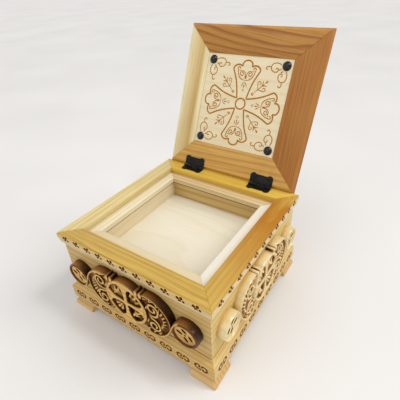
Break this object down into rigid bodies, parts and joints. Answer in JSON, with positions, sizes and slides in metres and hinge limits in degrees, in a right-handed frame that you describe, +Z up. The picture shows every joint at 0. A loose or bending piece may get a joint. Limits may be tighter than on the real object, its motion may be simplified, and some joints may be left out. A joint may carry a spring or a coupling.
{
  "type": "reliquary box",
  "caption": "Square lidded keepsake box of wood with moulded cornice and plinth, corner feet, pierced side carvings, a lined tray and a hinged lid with an inner panel.",
  "frame": {"origin": "centre of the footprint on the plane under the feet", "axes": "+Z up, -Y towards the front, +X to the right as seen from the front; the lid stands open at the back"},
  "size_m": [0.213, 0.2848, 0.2854],
  "materials": {
    "wall_wood": "satin varnish",
    "moulding_wood": "satin varnish",
    "carving_wood": "glossy varnish",
    "lid_wood": "satin varnish",
    "pale_wood": "matt varnish",
    "black_metal": "glossy black"
  },
  "bodies": {
    "box": {"wall_front": "wall_wood", "cornice_front": "moulding_wood", "plinth_front": "moulding_wood", "lining_front": "wall_wood", "ledge_front": "pale_wood", "carving_front": "carving_wood", "wall_right": "wall_wood", "cornice_right": "moulding_wood", "plinth_right": "moulding_wood", "lining_right": "wall_wood", "ledge_right": "pale_wood", "carving_right": "carving_wood", "wall_back": "wall_wood", "cornice_back": "moulding_wood", "plinth_back": "moulding_wood", "lining_back": "wall_wood", "ledge_back": "pale_wood", "carving_back": "carving_wood", "wall_left": "wall_wood", "cornice_left": "moulding_wood", "plinth_left": "moulding_wood", "lining_left": "wall_wood", "ledge_left": "pale_wood", "carving_left": "carving_wood", "foot_front_right": "moulding_wood", "foot_back_right": "moulding_wood", "foot_back_left": "moulding_wood", "foot_front_left": "moulding_wood", "floor_panel": "pale_wood", "hinge_leaf_box_left": "black_metal", "hinge_leaf_box_right": "black_metal", "hinge_pin_left": "black_metal", "hinge_pin_right": "black_metal", "hinge_screws_box": "black_metal"},
    "lid": {"lid_rail_front": "lid_wood", "lid_rail_right": "lid_wood", "lid_rail_back": "lid_wood", "lid_rail_left": "lid_wood", "lid_panel": "pale_wood", "lid_top_board": "lid_wood", "panel_screws": "black_metal", "hinge_leaf_lid_left": "black_metal", "hinge_leaf_lid_right": "black_metal", "hinge_screws_lid": "black_metal"}
  },
  "joints": [
    {"name": "lid_hinge", "type": "hinge", "parent": "box", "child": "lid", "pos_m": [0, 0.09375, 0.1157], "axis": [1, 0, 0], "range_deg": [0, 113.8]}
  ]
}
